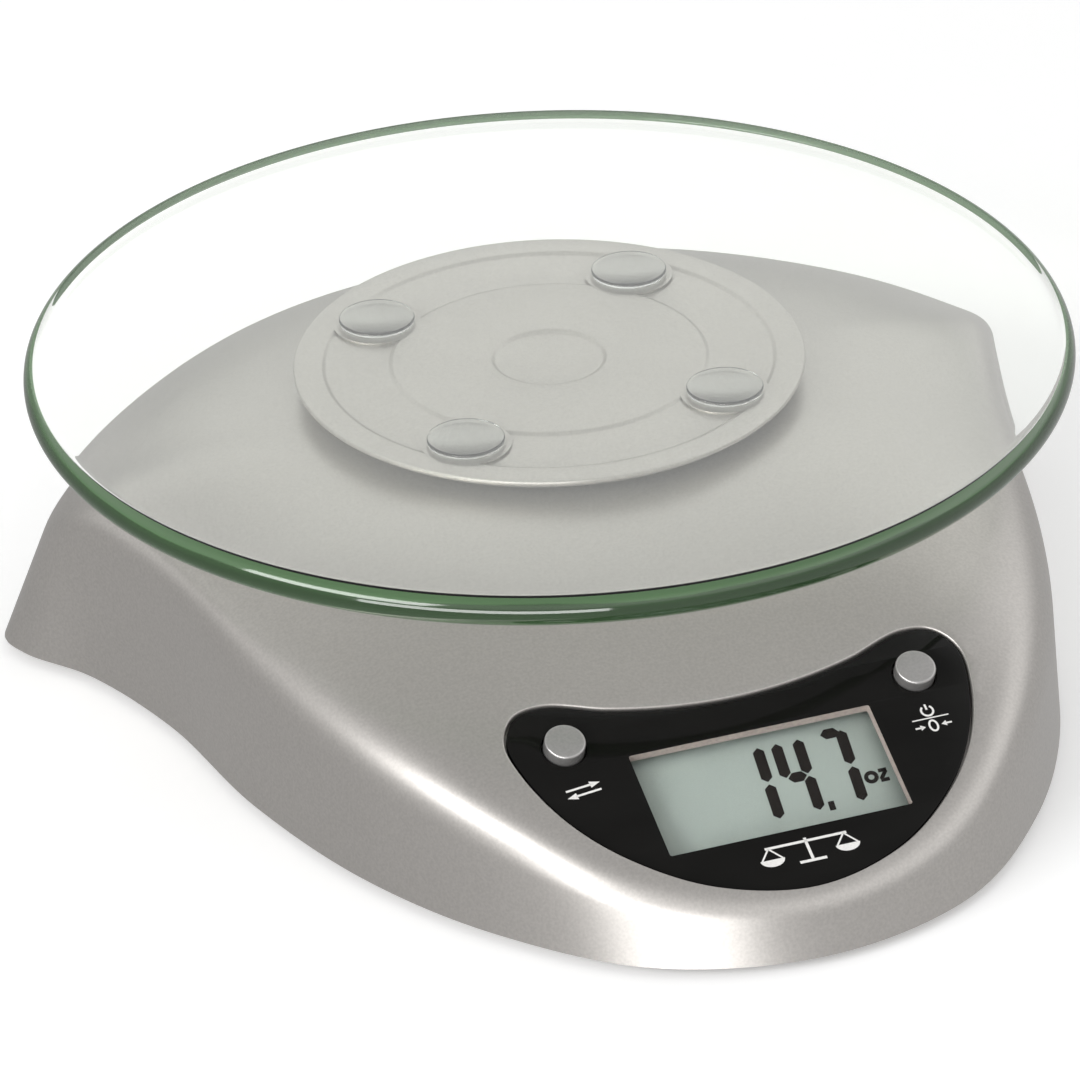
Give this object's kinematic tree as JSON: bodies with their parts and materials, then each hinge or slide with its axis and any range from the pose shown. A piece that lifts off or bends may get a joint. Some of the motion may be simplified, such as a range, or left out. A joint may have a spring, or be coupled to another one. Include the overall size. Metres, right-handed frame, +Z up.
{
  "type": "digital kitchen scale",
  "caption": "Low digital scale with a round glass platter over a silver housing whose sloping front holds a display and push buttons.",
  "frame": {"origin": "on the table under the middle of the object's bounding box", "axes": "+Z up, -Y towards the user and the display, +X to the user's right"},
  "size_m": [0.172, 0.1986, 0.0461],
  "materials": {
    "housing_silver": "satin silver paint",
    "platter_glass": "clear tempered glass, green at the edge",
    "panel_black": "high gloss black",
    "clear_plastic": "clear moulded plastic",
    "lcd_face": "grey-green display face",
    "dark_plastic": "matt",
    "button_silver": "satin silver paint",
    "foot_rubber": "matt moulded rubber",
    "board_laminate": "solder mask over laminate",
    "beam_alloy": "milled",
    "screw_steel": "zinc plated",
    "contact_metal": "nickel plated spring strip",
    "sealant_white": "cured silicone",
    "lead_white": "flat cable jacket",
    "lead_red": "wire jacket",
    "lead_black": "wire jacket"
  },
  "bodies": {
    "housing": {"top_shell": "housing_silver", "bottom_shell": "housing_silver", "display_panel": "panel_black", "display_window": "clear_plastic", "lcd": "lcd_face", "lcd_frame": "dark_plastic", "contact_strip": "foot_rubber", "circuit_board": "board_laminate", "controller_blob": "dark_plastic", "left_switch": "screw_steel", "right_switch": "screw_steel", "load_cell_beam": "beam_alloy", "fixed_spacer": "beam_alloy", "gauge_sealant": "sealant_white", "overload_stop": "screw_steel", "battery": "screw_steel", "negative_contact": "contact_metal", "positive_contact": "contact_metal", "sensor_lead": "lead_white", "battery_lead_positive": "lead_red", "battery_lead_negative": "lead_black", "foot_1": "foot_rubber", "foot_2": "foot_rubber", "foot_3": "foot_rubber", "foot_4": "foot_rubber", "housing_screw_1": "screw_steel", "housing_screw_2": "screw_steel", "housing_screw_3": "screw_steel", "housing_screw_4": "screw_steel", "housing_screw_5": "screw_steel", "board_screw_1": "screw_steel", "board_screw_2": "screw_steel", "fixed_end_screw_1": "screw_steel", "fixed_end_screw_2": "screw_steel"},
    "platform": {"glass_platter": "platter_glass", "platter_pad_1": "clear_plastic", "platter_pad_2": "clear_plastic", "platter_pad_3": "clear_plastic", "platter_pad_4": "clear_plastic", "platter_carrier": "housing_silver", "carrier_screw_1": "screw_steel", "carrier_screw_2": "screw_steel", "load_bracket": "beam_alloy", "load_spacer": "beam_alloy", "load_end_screw_1": "screw_steel", "load_end_screw_2": "screw_steel"},
    "left_button": {"left_button": "button_silver", "left_plunger": "dark_plastic"},
    "right_button": {"right_button": "button_silver", "right_plunger": "dark_plastic"},
    "battery_door": {"battery_door": "housing_silver"}
  },
  "joints": [
    {"name": "platform_load", "type": "slide", "parent": "housing", "child": "platform", "axis": [0, 0, -1], "range_m": [0, 0.0006], "stiffness_N_per_m": 20000, "deforming": ["load_cell_beam"]},
    {"name": "left_button_press", "type": "slide", "parent": "housing", "child": "left_button", "axis": [0, 0.3981, -0.9173], "range_m": [0, 0.0005], "stiffness_N_per_m": 300},
    {"name": "right_button_press", "type": "slide", "parent": "housing", "child": "right_button", "axis": [0, 0.3981, -0.9173], "range_m": [0, 0.0005], "stiffness_N_per_m": 300},
    {"name": "battery_door_hinge", "type": "hinge", "parent": "housing", "child": "battery_door", "pos_m": [0, -0.01445, 0.0026], "axis": [1, 0, 0], "range_deg": [0, 80]}
  ]
}
